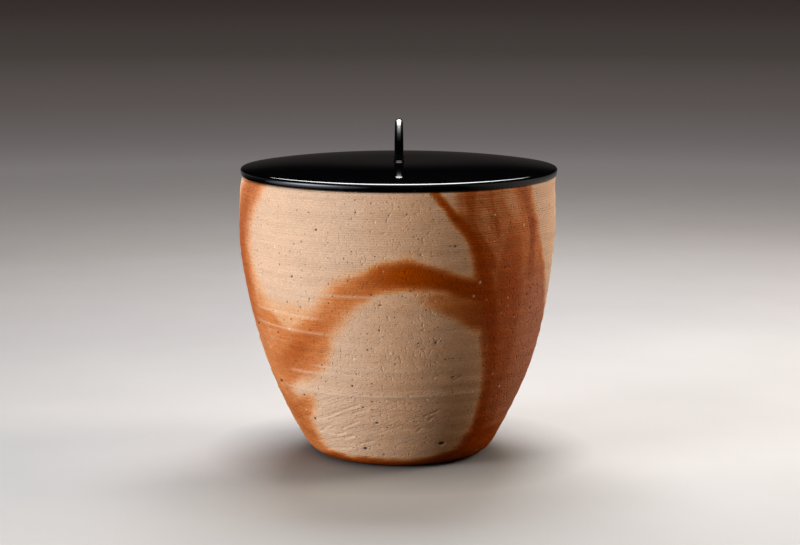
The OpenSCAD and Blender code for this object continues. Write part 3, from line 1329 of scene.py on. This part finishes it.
# Inputs by number: a Map Range takes a value, the range that it lies in and the range that it gets.
# A Mix of colours takes its share as input 0 and its colours as inputs 6 and 7.
@dataclass(frozen=True)
class Stoneware:
    """Unglazed stoneware, thrown on the wheel and fired with straw laid against it.

    The clay is a dry, pale buff with dark iron specks, small pits and pale grains, and fine lines of the
    throwing. Where straw lay, its salts burned orange to deep brown marks. Those that turned red are denser
    and shine a little.
    """

    # Colour of the painted shade in the pits' hollows.
    pit: str = "#3E2413"
    marks: Stops = (
        (0.0, "#E2BEA2"), (0.15, "#E7AF82"), (0.42, "#D58246"), (0.72, "#B96029"), (1.0, "#A54400"),
    )
    red_marks: Stops = (
        (0.0, "#E2BEA2"), (0.15, "#D8A284"), (0.42, "#BE7C61"), (0.72, "#A36141"), (1.0, "#8C3404"),
    )
    clay_roughness: float = 0.8
    mark_roughness: float = 0.45
    # How much the surface mirrors: hardly where it is bare or orange, and a little where it is red.
    dry_shine: float = 0.1
    red_shine: float = 0.8
    # Grit of 0.2 mm would be too fine for the render, so it is drawn at 0.65 mm.
    noises: Sequence[Noise] = (
        Noise("streaks", (18.0, 18.0, 0.8), 3.0, 0.6, rise=0.06),
        Noise("blotches", (7.0, 7.0, 7.0), 4.0, 0.6, rise=0.25),
        Noise("clouds", (26.0, 26.0, 26.0 / 3), 3.0),
        Noise("lines", (90.0, 90.0, 1.2), 3.0, 0.6, rise=0.1),
        Noise("grit", (0.65, 0.65, 0.65), 3.0, 0.7, rise=0.26),
        Noise("dents", (1.8, 1.8, 1.8), 2.0),
    )
    # The marks break into streaks, blotches and a share of grit, most where they are half strong.
    parting: float = 1.5
    grit_share: float = 0.5
    # How much a ridge thins the mark, and how pale it is made: partly worn clay, partly a painted highlight
    # on the crest.
    ridge_thins: float = 0.25
    ridge_pale_and_lit: float = 0.3
    # How dark and light the noises turn the colour. The grit does so more on the marks than on the clay.
    cloud_tones: Pair = (0.95, 1.04)
    line_tones: Pair = (0.94, 1.05)
    grit_dark: Pair = (0.78, 0.66)
    grit_light: Pair = (1.2, 1.4)
    specks: Spots = Spots(2.1, 0.5, "#4E301C", -0.2)
    grains: Spots = Spots(4.0, 0.85, "#F3E1CE", 0.2)
    # Spots by shares of their spacing: least and greatest radius, soft edge and raggedness, and their cover.
    spot_sizes: Pair = (-0.1, 0.3)
    spot_edge: float = 0.2
    ragged: float = 0.4
    spot_cover: float = 0.95
    # Depths of a pit between which its painted shade darkens it, and how far.
    pit_shade_edge: Pair = (0.25, 0.6)
    pit_shade_cover: float = 0.9
    # Comb lines: spacing, how far the clouds bend them, heights in metres over which they come in, and rise
    # below and above those.
    comb_spacing: float = 1.3
    comb_bend: float = 8.0
    comb_heights: Pair = (0.1, 0.135)
    comb_rises: Pair = (0.015, 0.055)
    # Dents of the coarse clay: noise values at their edge, rise, red shares over which they deepen, how far.
    dent_edge: Pair = (0.58, 0.72)
    dent_rise: float = -0.2
    dent_red: Pair = (0.1, 0.8)
    dent_deeper: float = 3.2
    # Scrapes of the trimming tool near the foot: length and width, tilt, noise values at their edge, detail
    # and roughness of that noise, rise, and heights in metres over which they die out.
    scrape: Pair = (34.0, 0.6)
    scrape_tilt: float = 22.0
    scrape_edge: Pair = (0.64, 0.69)
    scrape_fineness: Pair = (0.5, 0.6)
    scrape_rise: float = -0.24
    scrape_until: Pair = (0.036, 0.052)

    def material(self) -> bpy.types.Material:
        """Makes the material.

        Returns:
            The material, which reads the jar's fields.
        """
        material, tree, shader = new_material("unglazed stoneware, thrown and straw fired")
        place = add_node(tree, "TexCoord", out="Object")
        height = add_node(tree, "SeparateXYZ", {0: place}, out="Z")
        fields = {each: add_node(tree, "Attribute", out="Fac", attribute_name=each.value) for each in Field}
        noises = {}
        for each in self.noises:
            spread = add_node(tree, "VectorMath", {0: place, 1: per_mm(*each.size)}, operation="MULTIPLY")
            fineness = {"Detail": each.detail, "Roughness": each.roughness}
            noises[each.name] = add_node(tree, "TexNoise", {"Vector": spread, "Scale": 1.0, **fineness})
        mark = self.burned(tree, fields, noises)
        colour = self.tinted(tree, fields, noises, mark)
        rises = [(noises[each.name], each.rise) for each in self.noises if each.rise]

        # Most cells stay empty, and the others hold spots of all sizes up to the greatest.
        uneven = {0: noises["grit"], 1: -self.ragged, 2: self.ragged / 2}
        edge = add_node(tree, "Math", uneven, operation="MULTIPLY_ADD")
        least, greatest = self.spot_sizes
        for spots in (self.specks, self.grains):
            scale = per_mm(spots.spacing, spots.spacing, spots.spacing)
            spread = add_node(tree, "VectorMath", {0: place, 1: scale}, operation="MULTIPLY")
            away = add_node(tree, "TexVoronoi", {"Vector": spread, "Scale": 1.0}, out="Distance")
            chance = add_node(tree, "SeparateColor", {0: away.node.outputs["Color"]}, out="Red")
            size = add_node(tree, "MapRange", {0: chance, 1: spots.empty, 2: 1.0, 3: least, 4: greatest})
            bent = add_node(tree, "Math", {0: size, 1: edge}, operation="ADD")
            inside = add_node(tree, "Math", {0: bent, 1: away}, operation="SUBTRACT")
            shown = add_node(tree, "MapRange", {0: inside, 2: self.spot_edge, 4: self.spot_cover})
            tones = {0: shown, 6: colour, 7: linear(spots.colour)}
            colour = add_node(tree, "Mix", tones, out=2, data_type="RGBA")
            rises.append((shown, spots.rise))
        # Painted shade in the pits' hollows, by their depth.
        rim, deep = self.pit_shade_edge
        hollow = add_node(tree, "MapRange", {0: fields[Field.PIT_SHADE], 1: rim, 2: deep, 4: self.pit_shade_cover})
        colour = add_node(tree, "Mix", {0: hollow, 6: colour, 7: linear(self.pit)}, out=2, data_type="RGBA")

        rises.append((self.dents(tree, fields, noises), self.dent_rise))
        rises.append((self.scrapes(tree, place, height), self.scrape_rise))
        relief = self.comb(tree, height, noises)
        for value, rise in rises:
            relief = add_node(tree, "Math", {0: value, 1: rise, 2: relief}, operation="MULTIPLY_ADD")
        normal = add_node(tree, "Bump", {"Height": relief, "Distance": MM, "Strength": 1.0})

        sheen = {}
        for name, share, low, high in (
            ("Roughness", mark, self.clay_roughness, self.mark_roughness),
            ("Specular IOR Level", fields[Field.RED], self.dry_shine, self.red_shine),
        ):
            sheen[name] = add_node(tree, "MapRange", {0: share, 3: low, 4: high})
        fill_sockets(tree, shader, {"Base Color": colour, "Normal": normal, **sheen})
        return material

    def burned(self, tree: Tree, fields: Mapping[Field, Socket], noises: Mapping[str, Socket]) -> Socket:
        """How strongly the marks show where they break up, and thin on the ridges: partly wear, partly a
        painted highlight.

        Args:
            tree: The material's node tree.
            fields: The values that the mesh carries.
            noises: The noises in the clay, by name.

        Returns:
            The strength, from 0 to 1.
        """
        given = fields[Field.MARK]
        broken = add_node(tree, "Math", {0: noises["streaks"], 1: noises["blotches"]}, operation="ADD")
        gritty = {0: noises["grit"], 1: self.grit_share, 2: broken}
        broken = add_node(tree, "Math", gritty, operation="MULTIPLY_ADD")
        # A noise lies round a half, so this sum lies round 1 and half the grit's share.
        centred = add_node(tree, "Math", {0: broken, 1: 1 + self.grit_share / 2}, operation="SUBTRACT")
        rest = add_node(tree, "Math", {0: 1.0, 1: given}, operation="SUBTRACT")
        half_strong = add_node(tree, "Math", {0: given, 1: rest}, operation="MULTIPLY")
        pull = add_node(tree, "Math", {0: half_strong, 1: self.parting}, operation="MULTIPLY")
        parted = {0: centred, 1: pull, 2: given}
        mark = add_node(tree, "Math", parted, operation="MULTIPLY_ADD", use_clamp=True)
        thinned = {0: fields[Field.BARE_AND_LIT], 1: -self.ridge_thins, 2: 1.0}
        left = add_node(tree, "Math", thinned, operation="MULTIPLY_ADD")
        return add_node(tree, "Math", {0: mark, 1: left}, operation="MULTIPLY")

    def tinted(
        self, tree: Tree, fields: Mapping[Field, Socket], noises: Mapping[str, Socket], mark: Socket
    ) -> Socket:
        """Colour of the clay with its marks and bare ridges, before spots and pits.

        Args:
            tree: The material's node tree.
            fields: The values that the mesh carries.
            noises: The noises in the clay, by name.
            mark: How strongly the marks show.

        Returns:
            The colour.
        """
        brown = add_node(tree, "ValToRGB", {0: mark}, stops=self.marks)
        reddish = add_node(tree, "ValToRGB", {0: mark}, stops=self.red_marks)
        colour = add_node(tree, "Mix", {0: fields[Field.RED], 6: brown, 7: reddish}, out=2, data_type="RGBA")
        grit_tones = [
            add_node(tree, "MapRange", {0: mark, 3: on_clay, 4: on_marks})
            for on_clay, on_marks in (self.grit_dark, self.grit_light)
        ]
        low, high = NOISE_SPAN
        for name, (dark, light) in (
            ("clouds", self.cloud_tones),
            ("grit", grit_tones),
            ("lines", self.line_tones),
        ):
            dapple = add_node(tree, "MapRange", {0: noises[name], 1: low, 2: high, 3: dark, 4: light})
            colour = add_node(tree, "VectorMath", {0: colour, "Scale": dapple}, operation="SCALE")
        # Ridges turn towards the pale grain colour: partly clay worn bare, partly a painted highlight along
        # their crests.
        worn_and_lit = add_node(tree, "Math", {0: fields[Field.BARE_AND_LIT], 1: self.ridge_pale_and_lit}, operation="MULTIPLY")
        tones = {0: worn_and_lit, 6: colour, 7: linear(self.grains.colour)}
        return add_node(tree, "Mix", tones, out=2, data_type="RGBA")

    def comb(self, tree: Tree, height: Socket, noises: Mapping[str, Socket]) -> Socket:
        """Relief of the comb lines of the throwing.

        Args:
            tree: The material's node tree.
            height: Height of the place, in metres.
            noises: The noises in the clay, by name.

        Returns:
            The relief, in millimetres.
        """
        bend = add_node(tree, "Math", {0: noises["clouds"], 1: self.comb_bend}, operation="MULTIPLY")
        turns = {0: height, 1: math.tau / (self.comb_spacing * MM), 2: bend}
        angle = add_node(tree, "Math", turns, operation="MULTIPLY_ADD")
        wave = add_node(tree, "Math", {0: angle}, operation="SINE")
        start, full = self.comb_heights
        low, high = self.comb_rises
        strength = add_node(tree, "MapRange", {0: height, 1: start, 2: full, 3: low, 4: high})
        return add_node(tree, "Math", {0: wave, 1: strength}, operation="MULTIPLY")

    def dents(self, tree: Tree, fields: Mapping[Field, Socket], noises: Mapping[str, Socket]) -> Socket:
        """The small dents that the coarse clay leaves, which are deeper where the marks are red.

        Args:
            tree: The material's node tree.
            fields: The values that the mesh carries.
            noises: The noises in the clay, by name.

        Returns:
            The depth of the dents, from 0 up.
        """
        rim, deep = self.dent_edge
        dents = add_node(tree, "MapRange", {0: noises["dents"], 1: rim, 2: deep})
        start, full = self.dent_red
        red = {0: fields[Field.RED], 1: start, 2: full, 3: 1.0, 4: self.dent_deeper}
        deeper = add_node(tree, "MapRange", red)
        return add_node(tree, "Math", {0: dents, 1: deeper}, operation="MULTIPLY")

    def scrapes(self, tree: Tree, place: Socket, height: Socket) -> Socket:
        """The scrapes of the trimming tool, which run round the foot at a tilt.

        Args:
            tree: The material's node tree.
            place: The place on the jar, in metres.
            height: Its height.

        Returns:
            The depth of the scrapes, from 0 to 1.
        """
        across, back = (add_node(tree, "SeparateXYZ", {0: place}, out=axis) for axis in ("X", "Y"))
        front = add_node(tree, "Math", {0: back, 1: -1.0}, operation="MULTIPLY")
        turn = add_node(tree, "Math", {0: across, 1: front}, operation="ARCTAN2")
        flat = add_node(tree, "VectorMath", {0: place, 1: (1.0, 1.0, 0.0)}, operation="MULTIPLY")
        radius = add_node(tree, "VectorMath", {0: flat}, out="Value", operation="LENGTH")
        round_wall = add_node(tree, "Math", {0: turn, 1: radius}, operation="MULTIPLY")
        unrolled = add_node(tree, "CombineXYZ", {0: round_wall, 1: height})
        tilt = {"Vector": unrolled, "Axis": (0.0, 0.0, 1.0), "Angle": math.radians(-self.scrape_tilt)}
        tilted = add_node(tree, "VectorRotate", tilt)
        scale = per_mm(*self.scrape, 1.0)
        spread = add_node(tree, "VectorMath", {0: tilted, 1: scale}, operation="MULTIPLY")
        detail, roughness = self.scrape_fineness
        fineness = {"Detail": detail, "Roughness": roughness}
        lines = add_node(tree, "TexNoise", {"Vector": spread, "Scale": 1.0, **fineness})
        rim, deep = self.scrape_edge
        cut = add_node(tree, "MapRange", {0: lines, 1: rim, 2: deep})
        full_to, gone_at = self.scrape_until
        low = add_node(tree, "MapRange", {0: height, 1: gone_at, 2: full_to})
        return add_node(tree, "Math", {0: cut, 1: low}, operation="MULTIPLY")


@dataclass(frozen=True)
class BlackLacquer:
    """Black lacquer on wood, brushed on in layers and polished.

    It is nearly black and mirrors what is round it, with the faint waves of the brush and a few pale grey
    specks.
    """

    black: str = "#030304"
    pale_speck: str = "#9A9A96"
    ior: float = 1.52
    # Roughness in the hollows and on the crests of the brush's waves.
    roughness: Pair = (0.035, 0.07)
    # Size and rise of the waves, and spacing of the pale specks.
    wave: float = 9.0
    wave_rise: float = 0.004
    speck_spacing: float = 6.0
    # Radius of a speck at its core and its edge, by shares of the spacing, and how far it covers the black.
    speck_radius: Pair = (0.03, 0.05)
    speck_cover: float = 0.25

    def material(self) -> bpy.types.Material:
        """Makes the material.

        Returns:
            The material.
        """
        material, tree, shader = new_material("black lacquer on wood, polished")
        place = add_node(tree, "TexCoord", out="Object")
        waves, specks = (
            add_node(tree, "VectorMath", {0: place, 1: per_mm(size, size, size)}, operation="MULTIPLY")
            for size in (self.wave, self.speck_spacing)
        )
        wavy = add_node(tree, "TexNoise", {"Vector": waves, "Scale": 1.0, "Detail": 1.0})
        relief = add_node(tree, "Math", {0: wavy, 1: self.wave_rise}, operation="MULTIPLY")
        normal = add_node(tree, "Bump", {"Height": relief, "Distance": MM, "Strength": 1.0})
        away = add_node(tree, "TexVoronoi", {"Vector": specks, "Scale": 1.0})
        # Pale grey specks scattered over the black.
        core, edge = self.speck_radius
        specked = add_node(tree, "MapRange", {0: away, 1: edge, 2: core, 4: self.speck_cover})
        tones = {0: specked, 6: linear(self.black), 7: linear(self.pale_speck)}
        colour = add_node(tree, "Mix", tones, out=2, data_type="RGBA")
        low, high = self.roughness
        roughness = add_node(tree, "MapRange", {0: wavy, 3: low, 4: high})
        sockets = {"Base Color": colour, "Roughness": roughness, "Normal": normal, "IOR": self.ior}
        fill_sockets(tree, shader, sockets)
        return material


@dataclass(frozen=True)
class Softbox:
    """A soft lamp that is aimed at the jar."""

    name: str
    azimuth: float
    elevation: float
    distance: float
    size: Pair
    # Brightness that the lamp gives a white sheet that faces it beside the jar.
    level: float
    colour: str
    # Whether the lamp lights matt faces, and whether polished faces mirror it.
    lights: bool = True
    mirrored: bool = True
    aim: Triple = (0.0, 0.0, 0.09)

    def build(self) -> bpy.types.Object:
        """Makes the lamp.

        Returns:
            The lamp, in the scene.
        """
        lamp = bpy.data.lights.new(self.name, "AREA")
        lamp.shape = "RECTANGLE"
        lamp.size, lamp.size_y = self.size
        lamp.energy = self.level * math.pi**2 * self.distance**2
        lamp.color = linear(self.colour)[:3]
        turn, rise = math.radians(self.azimuth), math.radians(self.elevation)
        away = Vector((math.sin(turn) * math.cos(rise), -math.cos(turn) * math.cos(rise), math.sin(rise)))
        made = bpy.data.objects.new(self.name, lamp)
        made.location = Vector(self.aim) + away * self.distance
        made.rotation_mode = "QUATERNION"
        made.rotation_quaternion = (-away).to_track_quat("-Z", "Y")
        made.visible_camera = False
        made.visible_diffuse = self.lights
        made.visible_glossy = self.mirrored
        bpy.context.scene.collection.objects.link(made)
        return made


SOFTBOXES = (
    Softbox("key_softbox", -60, 13, 2.4, (1.0, 1.0), 1.18, "#FFFFFF", mirrored=False),
    Softbox("right_softbox", 102, 24, 1.2, (0.5, 0.5), 0.83, "#FFEFE0", mirrored=False),
    Softbox("top_softbox", 177, 53, 1.2, (0.8, 0.8), 1.65, "#F4F8FF", mirrored=False),
    Softbox("edge_softbox", 180, 61, 1.2, (1.0, 1.1), 3.9, "#FFFFFF", lights=False),
)


@dataclass
class Studio:
    """The paper floor with painted light and shadow, the dark room behind it, and the camera at the
    photograph's angle.
    """

    # The paper's colour, a painted pool of light that falls off by metres from its brightest spot, and that
    # spot.
    paper: Stops = (
        (0.8, "#C6C4C1"), (1.15, "#C0BDB9"), (1.5, "#A09C99"), (1.95, "#837D78"), (2.7, "#605D59"),
        (3.4, "#000000"),
    )
    painted_pool_centre: Triple = (0.45, -1.0, 0.0)
    # Faint mottling of the paper: its size in millimetres, its greatest share, and its colour.
    mottle: float = 90.0
    mottle_share: float = 0.04
    mottle_tone: str = "#000000"
    paper_roughness: float = 0.95
    # Painted shadow round the jar's foot on the paper, from occlusion: reach in metres, how dark it is, and
    # the rays that find it.
    foot_shadow_reach: float = 0.055
    foot_shadow_share: float = 0.85
    foot_shadow_rays: int = 8
    # What the paper throws back up at the jar: in the photograph that is little.
    paper_bounce: str = "#5C4E3A"
    # Polished faces mirror the paper to the right of the jar and behind it: direction, metres that way over
    # which it comes in, and how much of it they mirror.
    mirrored_side: Triple = (0.8, 0.6, 0.0)
    mirrored_from: Pair = (0.05, 0.25)
    mirrored_share: float = 0.35
    floor_radius: float = 12.0
    rim_points: int = 64
    # Painted glow of light on the paper behind the jar, as emission where the camera or a polished face sees
    # it: metres from the jar.
    glow: Stops = (
        (0.5, "#000000"), (1.0, "#3C3A3A"), (1.6, "#6B6767"), (2.6, "#5A5351"), (4.2, "#453F3C"),
        (7.0, "#38312F"), (12.0, "#2B2422"),
    )
    # Glowing patch of floor on the left, a painted light that only polished faces mirror: middle, colour by
    # metres, level.
    left_patch: Triple = (-0.76, -0.38, 0.0)
    left_glow: Stops = ((0.0, "#EDF1FA"), (0.2, "#BCC0C8"), (0.38, "#606369"), (0.6, "#000000"))
    left_level: float = 15.0
    # Room seen past the floor and in polished faces, by the height of the line of sight: sine and colour.
    room: Stops = ((0.0, "#393431"), (0.1, "#2C2927"), (0.16, "#110F0F"), (0.21, "#000000"))
    # Glow of the lit ceiling in polished faces, likewise, and how much brighter than white it is.
    ceiling: Stops = (
        (0.55, "#000000"), (0.7, "#2A2A2A"), (0.83, "#575757"), (0.97, "#BEBEBE"), (1.0, "#FFFFFF"),
    )
    ceiling_level: float = 12.0
    # How far it spreads to both sides, likewise, before it is gone.
    ceiling_aside: Pair = (0.25, 0.75)
    ambient: str = "#FFFFFF"
    ambient_level: float = 0.015
    camera_place: Triple = (0.0006, -1.25, 0.296)
    camera_pitch: float = 8.784
    # Focal length in pixels of the photograph, and the photograph's width.
    focal_pixels: float = 2207.0
    photo_width: float = 800.0
    sensor: float = 36.0
    # Metres that the camera sees.
    sight: float = 100.0

    def build_floor(self) -> bpy.types.Object:
        """Makes the floor, which is not part of the object.

        Returns:
            The floor.
        """
        turn = np.linspace(0, math.tau, self.rim_points, endpoint=False)
        rim = np.stack([np.cos(turn), np.sin(turn), np.zeros_like(turn)], axis=1) * self.floor_radius
        mesh = bpy.data.meshes.new("paper_floor")
        mesh.from_pydata(rim.tolist(), [], [list(range(len(rim)))])
        floor = bpy.data.objects.new("paper_floor", mesh)
        bpy.context.scene.collection.objects.link(floor)
        mesh.materials.append(self.paper_material())
        return floor

    def paper_material(self) -> bpy.types.Material:
        """Makes the matt paper, with its painted pool of light, painted glow and painted shadow round the
        foot, which the camera, polished faces and the clay each see in their own way.

        Returns:
            The material.
        """
        material, tree, shader = new_material("matt backdrop paper")
        place = add_node(tree, "TexCoord", out="Object")
        scale = per_mm(self.mottle, self.mottle, self.mottle)
        spread = add_node(tree, "VectorMath", {0: place, 1: scale}, operation="MULTIPLY")
        mottled = add_node(tree, "TexNoise", {"Vector": spread, "Scale": 1.0, "Detail": 3.0})
        low, high = NOISE_SPAN
        share = add_node(tree, "MapRange", {0: mottled, 1: low, 2: high, 4: self.mottle_share})
        tones = []
        for centre, stops in (
            (self.painted_pool_centre, self.paper),
            ((0.0, 0.0, 0.0), self.glow),
            (self.left_patch, self.left_glow),
        ):
            away = add_node(tree, "VectorMath", {0: place, 1: centre}, out="Value", operation="DISTANCE")
            reach = add_node(tree, "Math", {0: away, 1: self.floor_radius}, operation="DIVIDE")
            shares = [(metres / self.floor_radius, code) for metres, code in stops]
            tones.append(add_node(tree, "ValToRGB", {0: reach}, stops=shares))
        # The painted pool of light, the painted glow of the far paper, and the painted glowing patch on the
        # left.
        painted_pool, painted_far_glow, mirrored_glow_patch = tones
        mottling = {0: share, 6: painted_pool, 7: linear(self.mottle_tone)}
        paper = add_node(tree, "Mix", mottling, out=2, data_type="RGBA")
        # Painted shadow round the jar's foot, by how much of the sky the jar hides.
        reach = {"Distance": self.foot_shadow_reach}
        open_sky = add_node(tree, "AmbientOcclusion", reach, out="AO", samples=self.foot_shadow_rays)
        painted_foot_shadow = add_node(tree, "MapRange", {0: open_sky, 3: 1 - self.foot_shadow_share, 4: 1.0})
        paper = add_node(tree, "VectorMath", {0: paper, "Scale": painted_foot_shadow}, operation="SCALE")
        # The glowing left patch is painted light that only polished faces see.
        by_gloss = add_node(tree, "LightPath", out="Is Glossy Ray")
        mirrored_glow_patch = add_node(tree, "VectorMath", {0: mirrored_glow_patch, "Scale": by_gloss}, operation="SCALE")
        # Adds the painted glow of the far paper to the painted glowing patch.
        bright = {0: mirrored_glow_patch, 1: (self.left_level,) * 3, 2: painted_far_glow}
        glow = add_node(tree, "VectorMath", bright, operation="MULTIPLY_ADD")
        side = {0: place, 1: self.mirrored_side}
        sideways = add_node(tree, "VectorMath", side, out="Value", operation="DOT_PRODUCT")
        near, far = self.mirrored_from
        laid = add_node(tree, "MapRange", {0: sideways, 1: near, 2: far, 4: self.mirrored_share})
        mirrored = add_node(tree, "VectorMath", {0: paper, "Scale": laid}, operation="SCALE")
        colour = linear(self.paper_bounce)
        for ray, shade in (("Is Glossy Ray", mirrored), ("Is Camera Ray", paper)):
            by_ray = add_node(tree, "LightPath", out=ray)
            colour = add_node(tree, "Mix", {0: by_ray, 6: colour, 7: shade}, out=2, data_type="RGBA")
        matt = {"Base Color": colour, "Roughness": self.paper_roughness, "Specular IOR Level": 0.0}
        fill_sockets(tree, shader, {**matt, "Emission Color": glow, "Emission Strength": self.seen(tree)})
        return material

    def seen(self, tree: Tree) -> Socket:
        """Gives 1 where the camera or a polished face sees the surface, and 0 where it only lights."""
        rays = [add_node(tree, "LightPath", out=ray) for ray in ("Is Camera Ray", "Is Glossy Ray")]
        return add_node(tree, "Math", {0: rays[0], 1: rays[1]}, operation="MAXIMUM")

    def build_room(self) -> None:
        """Makes the room: a little even light, and a dark wall where a camera or a polished face sees it."""
        world = bpy.data.worlds.new("dark_studio")
        bpy.context.scene.world = world
        world.use_nodes = True
        tree = world.node_tree
        background = tree.nodes["Background"]
        sight = add_node(tree, "TexCoord", out="Generated")
        rise = add_node(tree, "SeparateXYZ", {0: sight}, out="Z")
        wall = add_node(tree, "ValToRGB", {0: rise}, stops=self.room)
        glow = add_node(tree, "ValToRGB", {0: rise}, stops=self.ceiling)
        across = add_node(tree, "SeparateXYZ", {0: sight}, out="X")
        aside = add_node(tree, "Math", {0: across}, operation="ABSOLUTE")
        full, gone = self.ceiling_aside
        narrow = add_node(tree, "MapRange", {0: aside, 1: gone, 2: full})
        level = add_node(tree, "Math", {0: narrow, 1: self.ceiling_level}, operation="MULTIPLY")
        bright = {0: glow, 1: level, 2: wall}
        wall = add_node(tree, "VectorMath", bright, operation="MULTIPLY_ADD")
        even = [channel * self.ambient_level for channel in linear(self.ambient)]
        colour = add_node(tree, "Mix", {0: self.seen(tree), 6: even, 7: wall}, out=2, data_type="RGBA")
        fill_sockets(tree, background, {"Color": colour, "Strength": 1.0})

    def build_camera(self) -> bpy.types.Object:
        """Makes the camera and sets it as the scene's own.

        Returns:
            The camera.
        """
        data = bpy.data.cameras.new("photo_camera")
        data.sensor_width = self.sensor
        data.lens = self.focal_pixels / self.photo_width * self.sensor
        data.clip_end = self.sight
        camera = bpy.data.objects.new("photo_camera", data)
        camera.location = self.camera_place
        camera.rotation_euler = (math.radians(90 - self.camera_pitch), 0, 0)
        bpy.context.scene.collection.objects.link(camera)
        bpy.context.scene.camera = camera
        return camera


def main() -> None:
    """Builds the studio and the three pieces, in order."""
    logging.basicConfig(level=logging.INFO, format="%(message)s")
    bpy.context.scene.view_settings.view_transform = "Standard"
    studio = Studio()
    studio.build_camera()
    studio.build_room()
    studio.build_floor()
    for softbox in SOFTBOXES:
        softbox.build()
    stoneware = Stoneware().material()
    lacquer = BlackLacquer().material()
    jar = Jar()
    lid = Lid()
    handle = Handle()
    jar.dress(jar.build(), stoneware)
    lid.dress(lid.build(), lacquer)
    handle.dress(handle.build(lid), lacquer)


if __name__ == "__main__":
    main()
